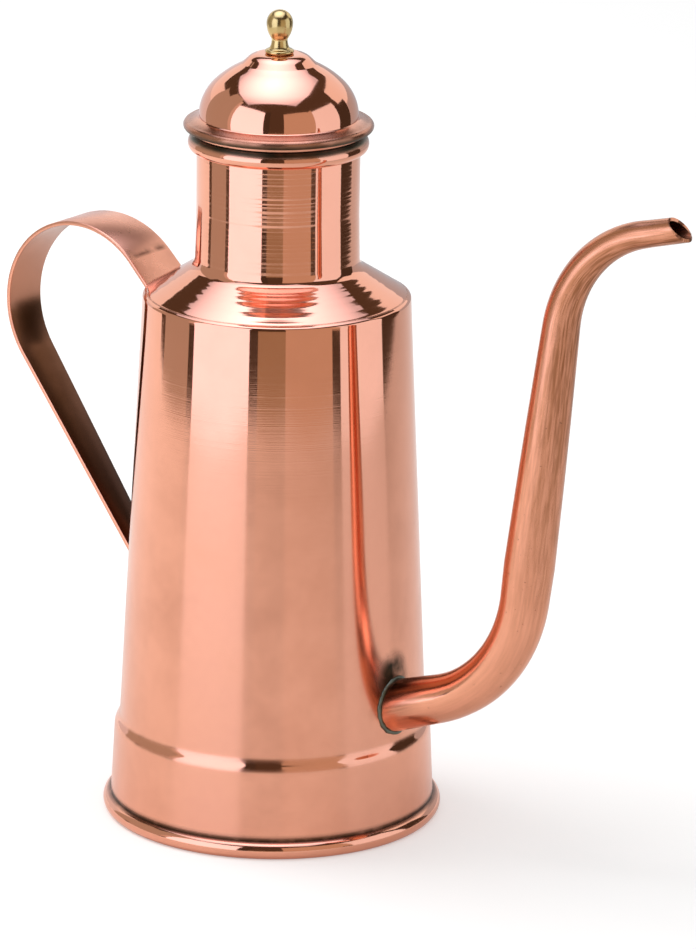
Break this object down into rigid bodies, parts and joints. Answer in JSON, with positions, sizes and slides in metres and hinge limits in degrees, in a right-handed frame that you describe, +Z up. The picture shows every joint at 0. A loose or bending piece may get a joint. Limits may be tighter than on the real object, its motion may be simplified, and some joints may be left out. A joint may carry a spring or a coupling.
{
  "type": "olive oil can",
  "caption": "Tinsmith's oil can with a conical body, long bent spout, strap handle and lift-off domed lid.",
  "frame": {"origin": "centre of the circle that the foot stands on", "axes": "+X along the spout, -X to the strap handle, +Z up along the can's axis"},
  "size_m": [0.2453, 0.105, 0.2526],
  "materials": {
    "copper_wall": "polished copper, duller low down",
    "copper_bottom": "dull copper",
    "copper_neck": "polished copper",
    "copper_spout": "polished copper with draw marks",
    "copper_strap": "polished copper",
    "copper_lid": "polished copper",
    "copper_collar": "satin copper",
    "solder": "dark soft solder",
    "iron_wire": "plain iron wire",
    "brass": "turned brass",
    "steel": "zinc-plated steel"
  },
  "bodies": {
    "can": {"body_wall": "copper_wall", "foot_wire": "iron_wire", "bottom_disc": "copper_bottom", "bottom_solder": "solder", "shoulder_neck": "copper_neck", "shoulder_solder": "solder", "mouth_wire": "iron_wire", "spout_tube": "copper_spout", "spout_solder": "solder", "handle_strap": "copper_strap", "handle_top_solder": "solder", "handle_foot_solder": "solder"},
    "lid": {"lid_dome": "copper_lid", "lid_collar": "copper_collar", "lid_knob": "brass", "knob_washer": "steel", "knob_nut": "steel"}
  },
  "joints": [
    {"name": "lid_lift", "type": "slide", "parent": "can", "child": "lid", "axis": [0, 0, 1], "range_m": [0, 0.04]}
  ]
}
